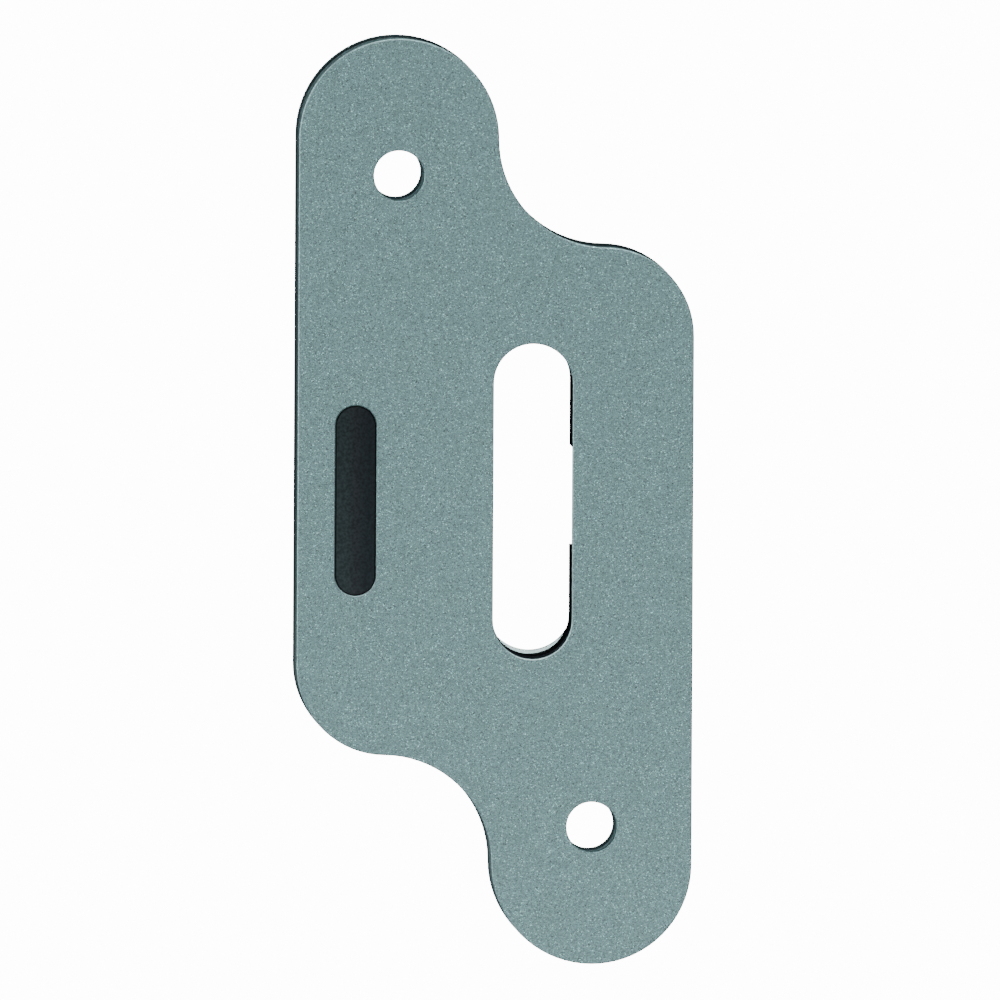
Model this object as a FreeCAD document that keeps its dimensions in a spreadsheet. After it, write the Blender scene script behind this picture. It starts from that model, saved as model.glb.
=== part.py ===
import FreeCAD, Part

import math
import os

import Sketcher

# Interspinous implant, lying on its far side plate.
# X runs across the implant, Y along its length and Z up through its thickness.
# The origin is the middle of the face it lies on. All sizes are millimetres.
#
# Two S-shaped side plates grip the spinous processes with their toothed lobes.
# A dark spacer core keeps them apart. Its oblong key passes through both plates,
# and its graft window lines up with theirs and opens to the right through a port.

Vec = FreeCAD.Vector
doc = FreeCAD.newDocument("interspinous_implant")

# Driving dimensions

SIZES = [
    ("plate_length", 46.0, "end to end over the lobes"),
    ("plate_width", 19.7, "side to side over the straight edges"),
    ("plate_thickness", 2.0, "each side plate"),
    ("lobe_radius", 4.98, "round end that holds a pin hole"),
    ("neck_radius", 5.36, "hollow between a lobe and a shoulder"),
    ("shoulder_radius", 4.4, "round corner of the middle part"),
    ("edge_break", 0.05, "chamfer round the outer faces and key ends"),
    ("pin_hole_diameter", 2.5, "hole in each lobe"),
    ("pin_hole_setback", 1.84, "from the lobe centre towards the middle"),
    ("window_width", 3.93, "graft window in near plate and core"),
    ("window_length", 15.7, "graft window in near plate and core"),
    ("window_offset", 1.87, "window centre, right of the middle"),
    ("window_rise", 0.1, "core's and far plate's window above the near plate's"),
    ("far_window_relief", 0.19, "far window stands back at each side"),
    ("far_window_lip", 0.17, "far window reaches in at each end"),
    ("key_slot_width", 2.03, "oblong slot for the core's key"),
    ("key_slot_length", 9.46, "oblong slot for the core's key"),
    ("key_slot_offset", 6.96, "slot centre, left of the middle"),
    ("key_clearance", 0.02, "all round the key in its slot"),
    ("core_thickness", 8.0, "gap between the side plates"),
    ("core_height", 19.8, "along the implant, outside the saddles"),
    ("core_inset", 0.8, "core stands back from the plates' sides"),
    ("core_corner", 2.0, "round upright corners of the core"),
    ("saddle_depth", 0.55, "hollow where a process rests"),
    ("port_height", 4.95, "port from the window to the right side"),
    ("port_rise", 0.21, "port centre above the middle"),
    ("tooth_base", 1.4, "side of a tooth's square foot"),
    ("tooth_tip", 0.25, "side of a tooth's flat tip"),
    ("tooth_height", 1.2, "above the plate's inner face"),
    ("tooth_ring_radius", 3.1, "teeth round a pin hole"),
    ("tooth_count", 6, "teeth round a pin hole"),
]

sheet = doc.addObject("Spreadsheet::Sheet", "Sizes")
for row, (alias, value, note) in enumerate(SIZES, start=1):
    sheet.set("A%d" % row, alias)
    sheet.set("B%d" % row, str(value))
    sheet.set("C%d" % row, note)
    sheet.setAlias("B%d" % row, alias)
doc.recompute()

# Places and sizes that several pieces share, worked out from the sheet

LOBE_X = "(Sizes.plate_width / 2 - Sizes.lobe_radius)"
LOBE_Y = "(Sizes.plate_length / 2 - Sizes.lobe_radius)"
PIN_Y = "(%s - Sizes.pin_hole_setback)" % LOBE_Y
CORE_HALF_WIDTH = "(Sizes.plate_width / 2 - Sizes.core_inset)"
SADDLE_RADIUS = "((Sizes.core_thickness^2 / 4 + Sizes.saddle_depth^2) / (2 * Sizes.saddle_depth))"

START, END, CENTRE = 1, 2, 3
ORIGIN = (-1, 1)
QUARTER = math.pi / 2


def size(alias):
    return float(sheet.get(alias))


# Bodies and sketches

def new_body(label, height):
    body = doc.addObject("PartDesign::Body", label)
    body.Label = label
    body.setExpression(".Placement.Base.z", height)
    return body


def new_sketch(body, name, role="XY_Plane"):
    plane = [feature for feature in body.Origin.OriginFeatures if feature.Role == role][0]
    sketch = body.newObject("Sketcher::SketchObject", body.Label + "_" + name)
    sketch.AttachmentSupport = [(plane, "")]
    sketch.MapMode = "FlatFace"
    return sketch


def rule(sketch, kind, *items):
    return sketch.addConstraint(Sketcher.Constraint(kind, *items))


def drive(sketch, name, expression, kind, *items):
    """A dimension whose value follows the sheet; the last item is its starting value."""
    sketch.renameConstraint(rule(sketch, kind, *items), name)
    sketch.setExpression("Constraints." + name, expression)


def place(sketch, name, geometry, point, x, y):
    """Hold a point at x and y, both expressions of the sheet's sizes."""
    at = sketch.getPoint(geometry, point)
    drive(sketch, name + "_x", x, "DistanceX", *ORIGIN, geometry, point, at.x)
    drive(sketch, name + "_y", y, "DistanceY", *ORIGIN, geometry, point, at.y)


def add_line(sketch, x1, y1, x2, y2):
    return sketch.addGeometry(Part.LineSegment(Vec(x1, y1, 0), Vec(x2, y2, 0)), False)


def add_arc(sketch, x, y, radius, first, last):
    circle = Part.Circle(Vec(x, y, 0), Vec(0, 0, 1), radius)
    return sketch.addGeometry(Part.ArcOfCircle(circle, first, last), False)


def add_circle(sketch, name, x, y, radius, x_rule, y_rule, radius_rule):
    circle = sketch.addGeometry(Part.Circle(Vec(x, y, 0), Vec(0, 0, 1), radius), False)
    drive(sketch, name + "_radius", radius_rule, "Radius", circle, radius)
    place(sketch, name, circle, CENTRE, x_rule, y_rule)


# The S outline. Each half is a straight side, a lobe, a neck and a shoulder that run
# into each other, and the lower half is the upper one turned half way round.

def draw_outline(sketch):
    half_width = size("plate_width") / 2
    lobe = size("lobe_radius")
    neck = size("neck_radius")
    shoulder = size("shoulder_radius")
    lobe_y = size("plate_length") / 2 - lobe
    lean = 2 * lobe + neck + shoulder - 2 * half_width
    shoulder_y = lobe_y - math.sqrt((neck + shoulder) ** 2 - lean ** 2)
    turn = math.asin(lean / (neck + shoulder))
    for side, half, first_angle in ((1, "upper", 0.0), (-1, "lower", math.pi)):
        edge = add_line(sketch, -side * half_width, -side * shoulder_y,
                        -side * half_width, side * lobe_y)
        end = add_arc(sketch, -side * (half_width - lobe), side * lobe_y, lobe,
                      first_angle, first_angle + math.pi)
        hollow = add_arc(sketch, -side * (half_width - 2 * lobe - neck), side * lobe_y, neck,
                         first_angle + math.pi, first_angle + 3 * QUARTER - turn)
        corner = add_arc(sketch, side * (half_width - shoulder), side * shoulder_y, shoulder,
                         first_angle, first_angle + QUARTER - turn)
        rule(sketch, "Tangent", edge, END, end, END)
        rule(sketch, "Tangent", end, START, hollow, START)
        rule(sketch, "Tangent", hollow, END, corner, END)
        rule(sketch, "Vertical", edge)
        rule(sketch, "Horizontal", end, CENTRE, hollow, CENTRE)
        drive(sketch, half + "_lobe", "Sizes.lobe_radius", "Radius", end, lobe)
        drive(sketch, half + "_neck", "Sizes.neck_radius", "Radius", hollow, neck)
        drive(sketch, half + "_shoulder", "Sizes.shoulder_radius", "Radius", corner, shoulder)
        place(sketch, half + "_centre", end, CENTRE,
              "%d * %s" % (-side, LOBE_X), "%d * %s" % (side, LOBE_Y))
    upper_edge, upper_corner, lower_edge, lower_corner = 0, 3, 4, 7
    rule(sketch, "Tangent", upper_corner, START, lower_edge, START)
    rule(sketch, "Tangent", lower_corner, START, upper_edge, START)


def draw_slot(sketch, name, x, y, width, length):
    """Upright slot with round ends; its centre and sizes are expressions."""
    radius = 1.0
    reach = 3.0
    top = add_arc(sketch, 0, reach, radius, 0, math.pi)
    left = add_line(sketch, -radius, reach, -radius, -reach)
    bottom = add_arc(sketch, 0, -reach, radius, math.pi, 2 * math.pi)
    right = add_line(sketch, radius, -reach, radius, reach)
    rule(sketch, "Tangent", top, END, left, START)
    rule(sketch, "Tangent", left, END, bottom, START)
    rule(sketch, "Tangent", bottom, END, right, START)
    rule(sketch, "Tangent", right, END, top, START)
    rule(sketch, "Equal", top, bottom)
    drive(sketch, name + "_radius", "(%s) / 2" % width, "Radius", top, radius)
    half_run = "((%s) - (%s)) / 2" % (length, width)
    place(sketch, name + "_top", top, CENTRE, x, "%s + %s" % (y, half_run))
    place(sketch, name + "_bottom", bottom, CENTRE, x, "%s - %s" % (y, half_run))


def draw_rectangle(sketch, left, bottom, right, top):
    """Upright rectangle between its low and high corners; the sides are expressions."""
    half = 1.0
    corners = [(-half, -half), (half, -half), (half, half), (-half, half)]
    for i in range(4):
        add_line(sketch, *corners[i], *corners[(i + 1) % 4])
    for i in range(4):
        rule(sketch, "Coincident", i, END, (i + 1) % 4, START)
        rule(sketch, "Vertical" if i % 2 else "Horizontal", i)
    place(sketch, "low", 0, START, left, bottom)
    place(sketch, "high", 2, START, right, top)


# Features

def pad(body, name, sketch, length, reversed_way=False, both_ways=False):
    feature = body.newObject("PartDesign::Pad", body.Label + "_" + name)
    feature.Profile = sketch
    feature.Reversed = reversed_way
    feature.SideType = "Symmetric" if both_ways else "One side"
    feature.setExpression("Length", length)
    doc.recompute()
    return feature


def cut_through(body, name, sketch):
    feature = body.newObject("PartDesign::Pocket", body.Label + "_" + name)
    feature.Profile = sketch
    feature.Type = "ThroughAll"
    feature.SideType = "Symmetric"
    doc.recompute()
    return feature


def break_outer_edges(body, base, ways):
    """Chamfer every edge of the highest face (way 1), the lowest face (way -1) or both."""
    faces = base.Shape.Faces
    outer = [max(range(len(faces)), key=lambda i: way * faces[i].CenterOfMass.z) for way in ways]
    chamfer = body.newObject("PartDesign::Chamfer", body.Label + "_edge_break")
    chamfer.Base = (base, ["Face%d" % (i + 1) for i in outer])
    chamfer.setExpression("Size", "Sizes.edge_break")


def round_upright_edges(body, base, radius):
    edges = base.Shape.Edges
    upright = [i for i in range(len(edges)) if abs(edges[i].tangentAt(edges[i].FirstParameter).z) > 0.99]
    fillet = body.newObject("PartDesign::Fillet", body.Label + "_corners")
    fillet.Base = (base, ["Edge%d" % (i + 1) for i in upright])
    fillet.setExpression("Radius", radius)


def add_teeth(body, name, side, outward):
    """A ring of small pyramids round a pin hole, on the plate's inner face."""
    sketch = new_sketch(body, name + "_tooth")
    sketch.setExpression(".AttachmentOffset.Base.x", "%d * %s" % (-side, LOBE_X))
    sketch.setExpression(".AttachmentOffset.Base.y", "%d * %s" % (side, PIN_Y))
    draw_rectangle(sketch, "-Sizes.tooth_base / 2", "Sizes.tooth_ring_radius - Sizes.tooth_base / 2",
                   "Sizes.tooth_base / 2", "Sizes.tooth_ring_radius + Sizes.tooth_base / 2")
    tooth = pad(body, name + "_tooth_pad", sketch, "Sizes.tooth_height", reversed_way=outward > 0)
    tooth.setExpression("TaperAngle",
                        "-atan((Sizes.tooth_base - Sizes.tooth_tip) / 2 / Sizes.tooth_height)")
    ring = body.newObject("PartDesign::PolarPattern", body.Label + "_" + name + "_teeth")
    ring.Originals = [tooth]
    ring.Axis = (sketch, ["N_Axis"])
    ring.Angle = 360
    ring.setExpression("Occurrences", "Sizes.tooth_count")
    body.Tip = ring
    doc.recompute()


# Side plates: the inner face is at the body's own Z = 0

def make_plate(label, height, outward, window_y, window_width, window_length):
    body = new_body(label, height)
    outline = new_sketch(body, "outline")
    draw_outline(outline)
    pad(body, "blank", outline, "Sizes.plate_thickness", reversed_way=outward < 0)
    openings = new_sketch(body, "openings")
    for side, half in ((1, "upper"), (-1, "lower")):
        add_circle(openings, half + "_pin", -side * 5.0, side * 16.0, 1.0,
                   "%d * %s" % (-side, LOBE_X), "%d * %s" % (side, PIN_Y),
                   "Sizes.pin_hole_diameter / 2")
    draw_slot(openings, "window", "Sizes.window_offset", window_y, window_width, window_length)
    draw_slot(openings, "key", "-Sizes.key_slot_offset", "0",
              "Sizes.key_slot_width", "Sizes.key_slot_length")
    pierced = cut_through(body, "pierced", openings)
    break_outer_edges(body, pierced, [outward])
    add_teeth(body, "upper", 1, outward)
    add_teeth(body, "lower", -1, outward)
    return body


# Spacer core: the body's own Z = 0 is half way between the plates

def make_core(label, height):
    body = new_body(label, height)
    block = new_sketch(body, "block")
    draw_rectangle(block, "-" + CORE_HALF_WIDTH, "-Sizes.core_height / 2",
                   CORE_HALF_WIDTH, "Sizes.core_height / 2")
    blank = pad(body, "blank", block, "Sizes.core_thickness", both_ways=True)
    round_upright_edges(body, blank, "Sizes.core_corner")
    saddles = new_sketch(body, "saddles", "YZ_Plane")
    for side, half in ((1, "upper"), (-1, "lower")):
        add_circle(saddles, half, side * 24.0, 0.0, 14.0,
                   "%d * (Sizes.core_height / 2 - Sizes.saddle_depth + %s)" % (side, SADDLE_RADIUS),
                   "0", SADDLE_RADIUS)
    cut_through(body, "saddles_cut", saddles)
    window = new_sketch(body, "window")
    draw_slot(window, "window", "Sizes.window_offset", "Sizes.window_rise",
              "Sizes.window_width", "Sizes.window_length")
    cut_through(body, "window_cut", window)
    port = new_sketch(body, "port")
    draw_rectangle(port, "Sizes.window_offset", "Sizes.port_rise - Sizes.port_height / 2",
                   "Sizes.plate_width / 2", "Sizes.port_rise + Sizes.port_height / 2")
    cut_through(body, "port_cut", port)
    key = new_sketch(body, "key")
    draw_slot(key, "key", "-Sizes.key_slot_offset", "0",
              "Sizes.key_slot_width - 2 * Sizes.key_clearance",
              "Sizes.key_slot_length - 2 * Sizes.key_clearance")
    keyed = pad(body, "key_pad", key, "Sizes.core_thickness + 2 * Sizes.plate_thickness",
                both_ways=True)
    break_outer_edges(body, keyed, [1, -1])
    return body


pieces = [
    make_plate("near_side_plate", "Sizes.plate_thickness + Sizes.core_thickness", 1,
               "0", "Sizes.window_width", "Sizes.window_length"),
    make_core("spacer_core", "Sizes.plate_thickness + Sizes.core_thickness / 2"),
    make_plate("far_side_plate", "Sizes.plate_thickness", -1,
               "Sizes.window_rise", "Sizes.window_width + 2 * Sizes.far_window_relief",
               "Sizes.window_length - 2 * Sizes.far_window_lip"),
]

# Check the document, then write one file for each piece

doc.recompute()
for thing in doc.Objects:
    if "Invalid" in thing.State or "Error" in thing.State:
        raise RuntimeError("failed: " + thing.Name)
    if thing.TypeId == "Sketcher::SketchObject" and not thing.FullyConstrained:
        raise RuntimeError("loose sketch: " + thing.Name)
for piece in pieces:
    if piece.Shape.isNull() or not piece.Shape.isValid() or len(piece.Shape.Solids) != 1:
        raise RuntimeError("not one valid solid: " + piece.Label)

os.makedirs("parts", exist_ok=True)
for piece in pieces:
    piece.Shape.exportStep("parts/%s.step" % piece.Label)
    box = piece.Shape.BoundBox
    print("%s volume %.1f  X %.2f to %.2f  Y %.2f to %.2f  Z %.2f to %.2f" % (
        piece.Label, piece.Shape.Volume, box.XMin, box.XMax, box.YMin, box.YMax,
        box.ZMin, box.ZMax))
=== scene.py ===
import math

import bpy
from mathutils import Matrix, Vector


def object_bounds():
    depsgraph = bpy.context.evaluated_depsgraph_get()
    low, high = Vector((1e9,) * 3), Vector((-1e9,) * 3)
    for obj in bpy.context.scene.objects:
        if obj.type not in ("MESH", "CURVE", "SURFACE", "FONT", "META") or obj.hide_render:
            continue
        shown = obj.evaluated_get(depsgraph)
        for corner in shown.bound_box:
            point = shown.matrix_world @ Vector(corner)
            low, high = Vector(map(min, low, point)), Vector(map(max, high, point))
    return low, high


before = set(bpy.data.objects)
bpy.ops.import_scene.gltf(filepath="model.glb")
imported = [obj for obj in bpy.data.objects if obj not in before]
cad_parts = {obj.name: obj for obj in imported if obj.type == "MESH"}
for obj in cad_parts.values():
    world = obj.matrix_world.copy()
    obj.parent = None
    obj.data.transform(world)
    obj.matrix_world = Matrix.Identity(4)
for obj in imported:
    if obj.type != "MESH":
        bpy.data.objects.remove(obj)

cad_box = [list(corner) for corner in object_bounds()]

# All lengths are metres. The view looks down on the implant, as the photograph looks
# on its near side plate: no perspective, from slightly above its upper end and left of it.

MM = 0.001
FACE_HEIGHT = cad_box[1][2]
MIDDLE_HEIGHT = FACE_HEIGHT / 2
PICTURE_HEIGHT = 49.755 * MM          # what the picture covers from top to bottom
LEAN_LEFT = 0.0172                    # camera's way to the left for each metre up
LEAN_UP = 0.0188                      # camera's way towards the upper end for each metre up
ROLL = math.radians(0.29)             # how far the implant leans to the right in the picture
AIM = Vector((0.226 * MM, 0.073 * MM, FACE_HEIGHT))    # what the picture has in its middle
CAMERA_DISTANCE = 0.4
CLIPPING = (0.01, 2.0)                # nearest and furthest that the camera sees


def add_object(name, data):
    made = bpy.data.objects.new(name, data)
    bpy.context.scene.collection.objects.link(made)
    return made


# Shader helpers

# The Mix node's colour sockets share their names with its others, so they go by number.
MIX_FACTOR = 0
MIX_FIRST = 6
MIX_SECOND = 7
MIX_RESULT = 2


def new_material(name):
    material = bpy.data.materials.new(name)
    material.use_nodes = True
    material.node_tree.nodes.clear()
    return material


def feed(material, socket, value):
    """Link the socket to another node's output, or set it to a plain value."""
    if isinstance(value, bpy.types.NodeSocket):
        material.node_tree.links.new(value, socket)
    else:
        socket.default_value = value


def add_node(material, kind, inputs=(), **settings):
    """Make a node; inputs maps a socket's name or number to what feeds it."""
    made = material.node_tree.nodes.new(kind)
    for key, value in settings.items():
        setattr(made, key, value)
    for name, value in dict(inputs).items():
        feed(material, made.inputs[name], value)
    return made


def calculate(material, operation, *values):
    """One step of arithmetic, such as MULTIPLY or COMPARE."""
    made = add_node(material, "ShaderNodeMath", dict(enumerate(values)), operation=operation)
    return made.outputs[0]


def calculate_vector(material, operation, *values):
    return add_node(material, "ShaderNodeVectorMath", dict(enumerate(values)), operation=operation)


def scaled(material, value, start, end, low=0.0, high=1.0):
    """Straight scale from low at start to high at end, held past both."""
    made = add_node(material, "ShaderNodeMapRange",
                    {"Value": value, "From Min": start, "From Max": end,
                     "To Min": low, "To Max": high})
    return made.outputs[0]


def parts_of(material, vector):
    """The X, Y and Z sockets of a vector."""
    return add_node(material, "ShaderNodeSeparateXYZ", {"Vector": vector}).outputs


def noise(material, place, spot, detail=0.0, roughness=0.5):
    """Noise whose spots are about as large as spot."""
    return add_node(material, "ShaderNodeTexNoise",
                    {"Vector": place, "Scale": 1.0 / spot, "Detail": detail,
                     "Roughness": roughness}).outputs["Fac"]


def ramp(material, factor, stops):
    """Colour ramp; each stop is a place and a linear colour."""
    made = add_node(material, "ShaderNodeValToRGB", {"Fac": factor})
    elements = made.color_ramp.elements
    while len(elements) < len(stops):
        elements.new(0.5)
    for element, (place, colour) in zip(elements, stops):
        element.position = place
        element.color = (*colour, 1.0)
    return made.outputs["Color"]


def mix(material, factor, first, second, blend="MIX"):
    made = add_node(material, "ShaderNodeMix", data_type="RGBA", blend_type=blend)
    for number, value in ((MIX_FACTOR, factor), (MIX_FIRST, first), (MIX_SECOND, second)):
        feed(material, made.inputs[number], value)
    return made.outputs[MIX_RESULT]


def multiply_colours(material, first, second):
    return mix(material, 1.0, first, second, "MULTIPLY")


def finish_surface(material, colour, roughness, metallic, height, depth, specular=0.5):
    bump = add_node(material, "ShaderNodeBump", {"Strength": 1.0, "Distance": depth,
                                                 "Height": height})
    shader = add_node(material, "ShaderNodeBsdfPrincipled",
                      {"Base Color": colour, "Roughness": roughness, "Metallic": metallic,
                       "Specular IOR Level": specular, "Normal": bump.outputs["Normal"]})
    add_node(material, "ShaderNodeOutputMaterial", {"Surface": shader.outputs["BSDF"]})


def distance_from_middle(material, height):
    above_middle = calculate(material, "SUBTRACT", height, MIDDLE_HEIGHT)
    return calculate(material, "ABSOLUTE", above_middle)


def grey(value):
    return (value, value, value)


# Blasted titanium: tiny bright and dark grains on a soft green-grey, with a faint cloud.
# The inner faces and teeth are ground and not blasted: brighter, smoother, with faint marks
# along the implant. Near the plate's outline and holes the inner faces carry a painted shade
# rim. The chamfers round the window and the slot carry a painted highlight.

GRAIN = 0.036 * MM
GRAIN_BUMP = (0.072 * MM, 1.0)        # size of its spots, and detail
GRAIN_DEPTH = 0.002 * MM
GRAIN_STEPS = [(0.00, 0.32), (0.05, 0.65), (0.93, 1.25), (0.97, 1.70), (1.00, 3.10)]
BRIGHTEST = 3.6
GRAIN_SPREAD = (1.0, 1.2, 1.2)        # green and blue vary more than red
TITANIUM = (0.216, 0.354, 0.368)
CLOUD = (2.0 * MM, 3.0)               # size of its spots, and detail
CLOUD_SHADES = [(0.35, (0.985, 0.985, 0.965)), (0.65, grey(1.0))]
MACHINED = (0.56, 0.76, 0.77)
MARKS = (0.13 * MM, 2.0, 0.6)         # spacing, detail and roughness
MARK_STRETCH = (1.0, 0.03, 1.0)       # the marks run along the implant
MARK_SHADES = [(0.30, grey(0.86)), (0.65, grey(1.0))]
INNER_FACE = (4.0 * MM, 0.03 * MM)    # from the middle height, and how far it may differ
# Painted shade: a dark rim on the inner faces near the plate's outline and pin holes, where the plates
# shade each other
SHADE_RIM_WIDTH = 0.3 * MM
SHADE_RIM_SAMPLES = 8
SHADE_RIM_TURN = (0.995, 0.96)              # how softened the normal is where the rim starts and is full
SHADE_RIM_COLOUR = (0.10, 0.16, 0.17)
PAINTED_EDGE_HIGHLIGHT = (0.68, 0.94, 0.96)         # painted highlight on the chamfers round the window and the slot
WINDOW_REACH = 8.6 * MM                  # both lie within this of the middle, and no other edge does
EDGE_HIGHLIGHT_TURN = (-0.25, 0.65)              # the normal's part along Y where the painted highlight starts and is full
CHAMFER_RISE = (0.707, 0.25)          # upward part of a chamfer's normal, and how far it may differ
WALL_RISE = 0.5                       # a wall's or a tooth's normal has less than this upward
BLASTED_ROUGHNESS = 0.55
GROUND_ROUGHNESS = 0.42
WALL_ROUGHNESS = 0.38


def speck(level):
    """A grain's colour as a share of the brightest one."""
    return tuple((1.0 + (level - 1.0) * spread) / BRIGHTEST for spread in GRAIN_SPREAD)


def blasted_face(material, place):
    cells = add_node(material, "ShaderNodeTexVoronoi", {"Vector": place, "Scale": 1.0 / GRAIN})
    chance = add_node(material, "ShaderNodeSeparateColor", {"Color": cells.outputs["Color"]})
    speckle = ramp(material, chance.outputs["Red"], [(at, speck(level)) for at, level in GRAIN_STEPS])
    brightest = (*(BRIGHTEST * part for part in TITANIUM), 1.0)
    cloud = ramp(material, noise(material, place, *CLOUD), CLOUD_SHADES)
    return multiply_colours(material, multiply_colours(material, speckle, brightest), cloud)


def ground_face(material, place):
    stretched = calculate_vector(material, "MULTIPLY", place, MARK_STRETCH).outputs[0]
    marks = ramp(material, noise(material, stretched, *MARKS), MARK_SHADES)
    return multiply_colours(material, (*MACHINED, 1.0), marks)


def near_window(material, place):
    """1 within reach of the window and the slot, and 0 further out."""
    axes = parts_of(material, calculate_vector(material, "ABSOLUTE", place).outputs[0])
    furthest = calculate(material, "MAXIMUM", axes["X"], axes["Y"])
    return calculate(material, "LESS_THAN", furthest, WINDOW_REACH)


def painted_edge_highlight(material, facing, central):
    """Painted highlight: up to 1 on the chamfers round the window and the slot, the more they face the
    upper end.
    """
    sloping = calculate(material, "COMPARE", facing["Z"], *CHAMFER_RISE)
    upper = scaled(material, facing["Y"], *EDGE_HIGHLIGHT_TURN)
    return calculate(material, "MULTIPLY", upper, calculate(material, "MULTIPLY", sloping, central))


def painted_shade_rim(material, normal, off_middle, central):
    """Painted shade: up to 1 on the inner faces near the plate's outline and pin holes, 0 round the
    window.
    """
    softened = add_node(material, "ShaderNodeBevel", {"Radius": SHADE_RIM_WIDTH}, samples=SHADE_RIM_SAMPLES)
    agreement = calculate_vector(material, "DOT_PRODUCT", normal, softened.outputs[0])
    edge = scaled(material, agreement.outputs["Value"], *SHADE_RIM_TURN)
    level = calculate(material, "COMPARE", off_middle, *INNER_FACE)
    outside = calculate(material, "SUBTRACT", 1.0, central)
    return calculate(material, "MULTIPLY", edge, calculate(material, "MULTIPLY", level, outside))


def blasted_titanium():
    material = new_material("blasted_titanium")
    place = add_node(material, "ShaderNodeTexCoord").outputs["Object"]
    normal = add_node(material, "ShaderNodeNewGeometry").outputs["True Normal"]
    facing = parts_of(material, normal)
    central = near_window(material, place)
    off_middle = distance_from_middle(material, parts_of(material, place)["Z"])
    inner = calculate(material, "LESS_THAN", off_middle, sum(INNER_FACE))
    edge_highlight = painted_edge_highlight(material, facing, central)
    # outer faces: blasted grain, with a painted highlight on the chamfers round the window and the slot
    outer = mix(material, edge_highlight, blasted_face(material, place), (*PAINTED_EDGE_HIGHLIGHT, 1.0))
    shade_rim = painted_shade_rim(material, normal, off_middle, central)
    # inner faces: ground, with the painted shade rim near the outline and pin holes
    ground = mix(material, shade_rim, ground_face(material, place), (*SHADE_RIM_COLOUR, 1.0))
    colour = mix(material, inner, outer, ground)
    upright = calculate(material, "COMPARE", facing["Z"], 0.0, WALL_RISE)
    flat_roughness = scaled(material, inner, 0.0, 1.0, BLASTED_ROUGHNESS, GROUND_ROUGHNESS)
    wall_roughness = scaled(material, upright, 0.0, 1.0, BLASTED_ROUGHNESS, WALL_ROUGHNESS)
    roughness = calculate(material, "MINIMUM", flat_roughness, wall_roughness)
    bump = noise(material, place, *GRAIN_BUMP)
    finish_surface(material, colour, roughness, 1.0, bump, GRAIN_DEPTH)
    return material


# Dark polymer: a faint mottle, with painted shading: lighter and greener towards the left side and paler
# towards the lower end

POLYMER_SHADE_ACROSS = [(0.00, (0.0325, 0.0506, 0.0542)), (0.35, (0.0280, 0.0363, 0.0421)),
                  (1.00, (0.0166, 0.0262, 0.0328))]
POLYMER_SHADE_TURN = (-7.4 * MM, -6.3 * MM)
POLYMER_SHADE_ALONG = (4.7 * MM, -4.7 * MM, 0.82, 1.20)   # the key's two ends, and the painted shade at each
MOTTLE = 0.115 * MM
MOTTLE_SHADES = [(0.25, grey(0.54)), (0.75, grey(1.0))]
# Painted shade: the key's chamfer round both its ends is coloured near-black, as the groove round it lies
# in shade
KEY_GROOVE = (5.97 * MM, 0.027 * MM)  # from the middle height, and half its own height
PAINTED_GROOVE_SHADE = (0.002, 0.003, 0.004)
POLYMER_GRAIN = (0.1 * MM, 2.0)       # size of its spots, and detail
POLYMER_DEPTH = 0.001 * MM
POLYMER_ROUGHNESS = 0.6
POLYMER_GLOSS = 0.12


def dark_polymer():
    material = new_material("dark_polymer")
    place = add_node(material, "ShaderNodeTexCoord").outputs["Object"]
    axes = parts_of(material, place)
    # painted shading: lighter and greener towards the key's left side, paler towards its lower end
    across = ramp(material, scaled(material, axes["X"], *POLYMER_SHADE_TURN), POLYMER_SHADE_ACROSS)
    along = scaled(material, axes["Y"], *POLYMER_SHADE_ALONG)
    mottle = ramp(material, noise(material, place, MOTTLE), MOTTLE_SHADES)
    smooth = multiply_colours(material, multiply_colours(material, across, along), mottle)
    off_middle = distance_from_middle(material, axes["Z"])
    # painted shade in the groove round the key's ends
    groove_shade = calculate(material, "COMPARE", off_middle, *KEY_GROOVE)
    colour = mix(material, groove_shade, smooth, (*PAINTED_GROOVE_SHADE, 1.0))
    bump = noise(material, place, *POLYMER_GRAIN)
    finish_surface(material, colour, POLYMER_ROUGHNESS, 0.0, bump, POLYMER_DEPTH, POLYMER_GLOSS)
    return material


def set_material(name, material):
    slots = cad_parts[name].data.materials
    slots.clear()
    slots.append(material)


titanium = blasted_titanium()
polymer = dark_polymer()
set_material("near_side_plate", titanium)
set_material("far_side_plate", titanium)
set_material("spacer_core", polymer)


# A pale floor that glows white like a light table, so the openings show white through

FLOOR_SIZE = 3.0
FLOOR_DROP = 0.01 * MM
WHITE = (1.0, 1.0, 1.0, 1.0)
WHITE_GLOW = 14.0


def make_floor():
    half = FLOOR_SIZE / 2
    mesh = bpy.data.meshes.new("floor")
    corners = [(-half, -half), (half, -half), (half, half), (-half, half)]
    mesh.from_pydata([(x, y, -FLOOR_DROP) for x, y in corners], [], [(0, 1, 2, 3)])
    floor = add_object("floor", mesh)
    material = new_material("pale_floor")
    glow = add_node(material, "ShaderNodeEmission", {"Color": WHITE, "Strength": WHITE_GLOW})
    add_node(material, "ShaderNodeOutputMaterial", {"Surface": glow.outputs["Emission"]})
    mesh.materials.append(material)
    floor.visible_diffuse = False
    floor.visible_glossy = False
    floor.visible_shadow = False


# Studio light: a narrow overhead key, low soft panels round it and a bright sky

SUN_HEIGHT = 0.5
KEY_STRENGTH = 0.66
KEY_SPREAD = math.radians(0.05)
END_BOX_PLACE = (0.0, -0.09, 0.12)
END_BOX_SIZE = 0.06
END_BOX_POWER = 0.05
PANEL_SIZE = (0.30, 0.12)             # width and height
PANEL_DISTANCE = 0.30
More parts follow.
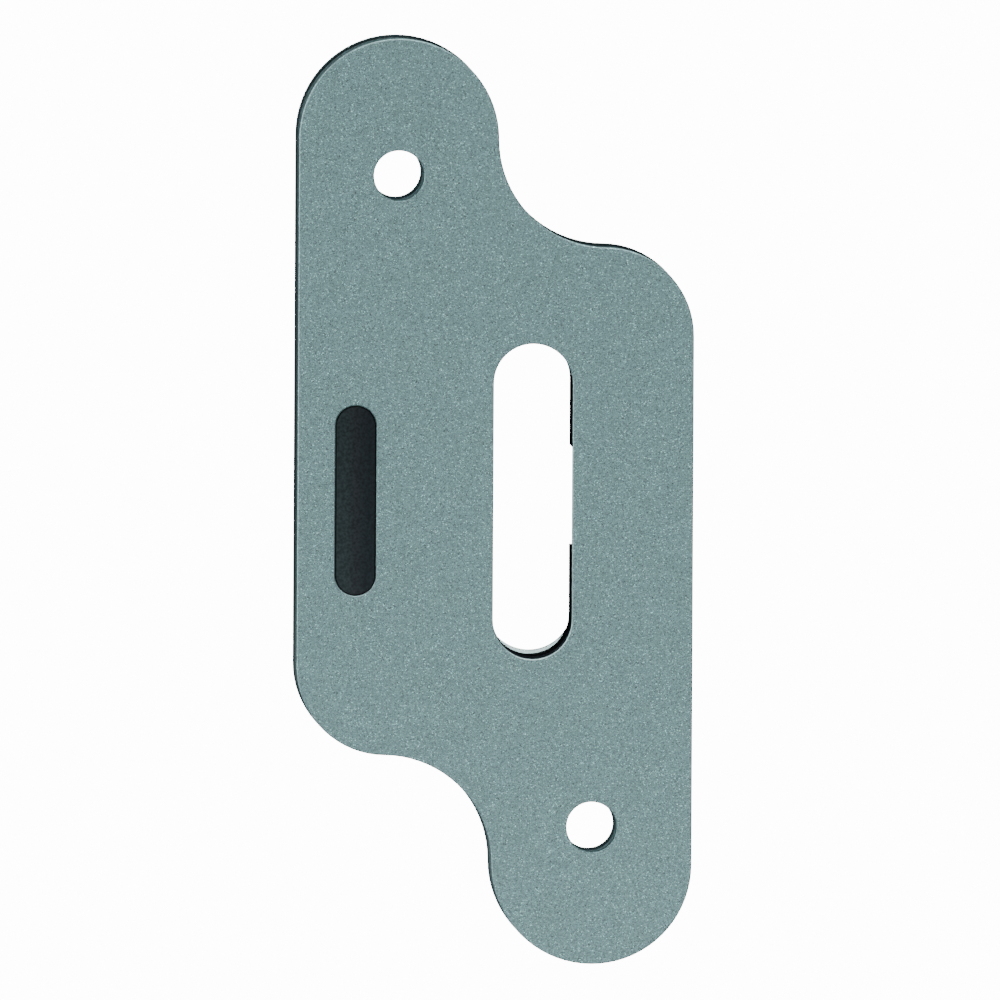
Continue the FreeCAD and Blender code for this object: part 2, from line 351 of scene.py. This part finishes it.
# Each low panel's bearing in degrees, anticlockwise from +X, its height and its power
LOW_PANELS = {
    "upper_panel": (90, -0.03, 0.8),
    "upper_high_panel": (90, 0.08, 0.35),
    "left_panel": (165, 0.02, 0.8),
    "lower_right_panel": (-45, -0.03, 0.06),
    "lower_right_bounce": (-60, -0.20, 0.09),
    "right_bounce": (35, -0.20, 0.09),
}
# How bright the sky is at each height: 0 is straight down, 0.5 the horizon and 1 overhead
SKY = [(0.30, 0.02), (0.45, 0.40), (0.64, 0.60), (0.78, 0.60), (0.90, 0.04)]


def place_lamp(lamp, place, target):
    lamp.location = place
    lamp.rotation_mode = "QUATERNION"
    lamp.rotation_quaternion = (target - lamp.location).to_track_quat("-Z", "Y")


def overhead_key():
    light = bpy.data.lights.new("key", "SUN")
    light.energy = KEY_STRENGTH
    light.angle = KEY_SPREAD
    add_object("key", light).location = (0.0, 0.0, SUN_HEIGHT)


def lower_end_box():
    light = bpy.data.lights.new("lower_end_box", "AREA")
    light.size = END_BOX_SIZE
    light.energy = END_BOX_POWER
    lamp = add_object("lower_end_box", light)
    place_lamp(lamp, END_BOX_PLACE, Vector((0.0, 0.0, FACE_HEIGHT)))


def low_panel(name, bearing, height, power):
    light = bpy.data.lights.new(name, "AREA")
    light.shape = "RECTANGLE"
    light.size, light.size_y = PANEL_SIZE
    light.energy = power
    angle = math.radians(bearing)
    place = (PANEL_DISTANCE * math.cos(angle), PANEL_DISTANCE * math.sin(angle), height)
    place_lamp(add_object(name, light), place, Vector((0.0, 0.0, MIDDLE_HEIGHT)))


def surround():
    """The sky lights the implant, and the camera sees white in its place."""
    world = bpy.data.worlds.new("surround")
    world.use_nodes = True
    world.node_tree.nodes.clear()
    direction = add_node(world, "ShaderNodeTexCoord").outputs["Generated"]
    height = scaled(world, parts_of(world, direction)["Z"], -1.0, 1.0)
    sky = ramp(world, height, [(place, grey(level)) for place, level in SKY])
    light = add_node(world, "ShaderNodeBackground", {"Color": sky, "Strength": 1.0})
    white = add_node(world, "ShaderNodeBackground", {"Color": WHITE, "Strength": WHITE_GLOW})
    path = add_node(world, "ShaderNodeLightPath")
    shown = add_node(world, "ShaderNodeMixShader",
                     {0: path.outputs["Is Camera Ray"], 1: light.outputs[0], 2: white.outputs[0]})
    add_node(world, "ShaderNodeOutputWorld", {"Surface": shown.outputs[0]})
    bpy.context.scene.world = world


make_floor()
overhead_key()
lower_end_box()
for panel, settings in LOW_PANELS.items():
    low_panel(panel, *settings)
surround()


# Camera

def make_camera():
    data = bpy.data.cameras.new("camera")
    data.type = "ORTHO"
    data.ortho_scale = PICTURE_HEIGHT
    data.clip_start, data.clip_end = CLIPPING
    camera = add_object("camera", data)
    back = Vector((-LEAN_LEFT, LEAN_UP, 1.0)).normalized()
    right = Vector((0.0, 1.0, 0.0)).cross(back).normalized()
    up = back.cross(right)
    turn = Matrix.Rotation(ROLL, 4, back)
    axes = Matrix((right, up, back)).transposed().to_4x4()
    camera.matrix_world = Matrix.Translation(AIM + back * CAMERA_DISTANCE) @ turn @ axes
    bpy.context.scene.camera = camera


make_camera()
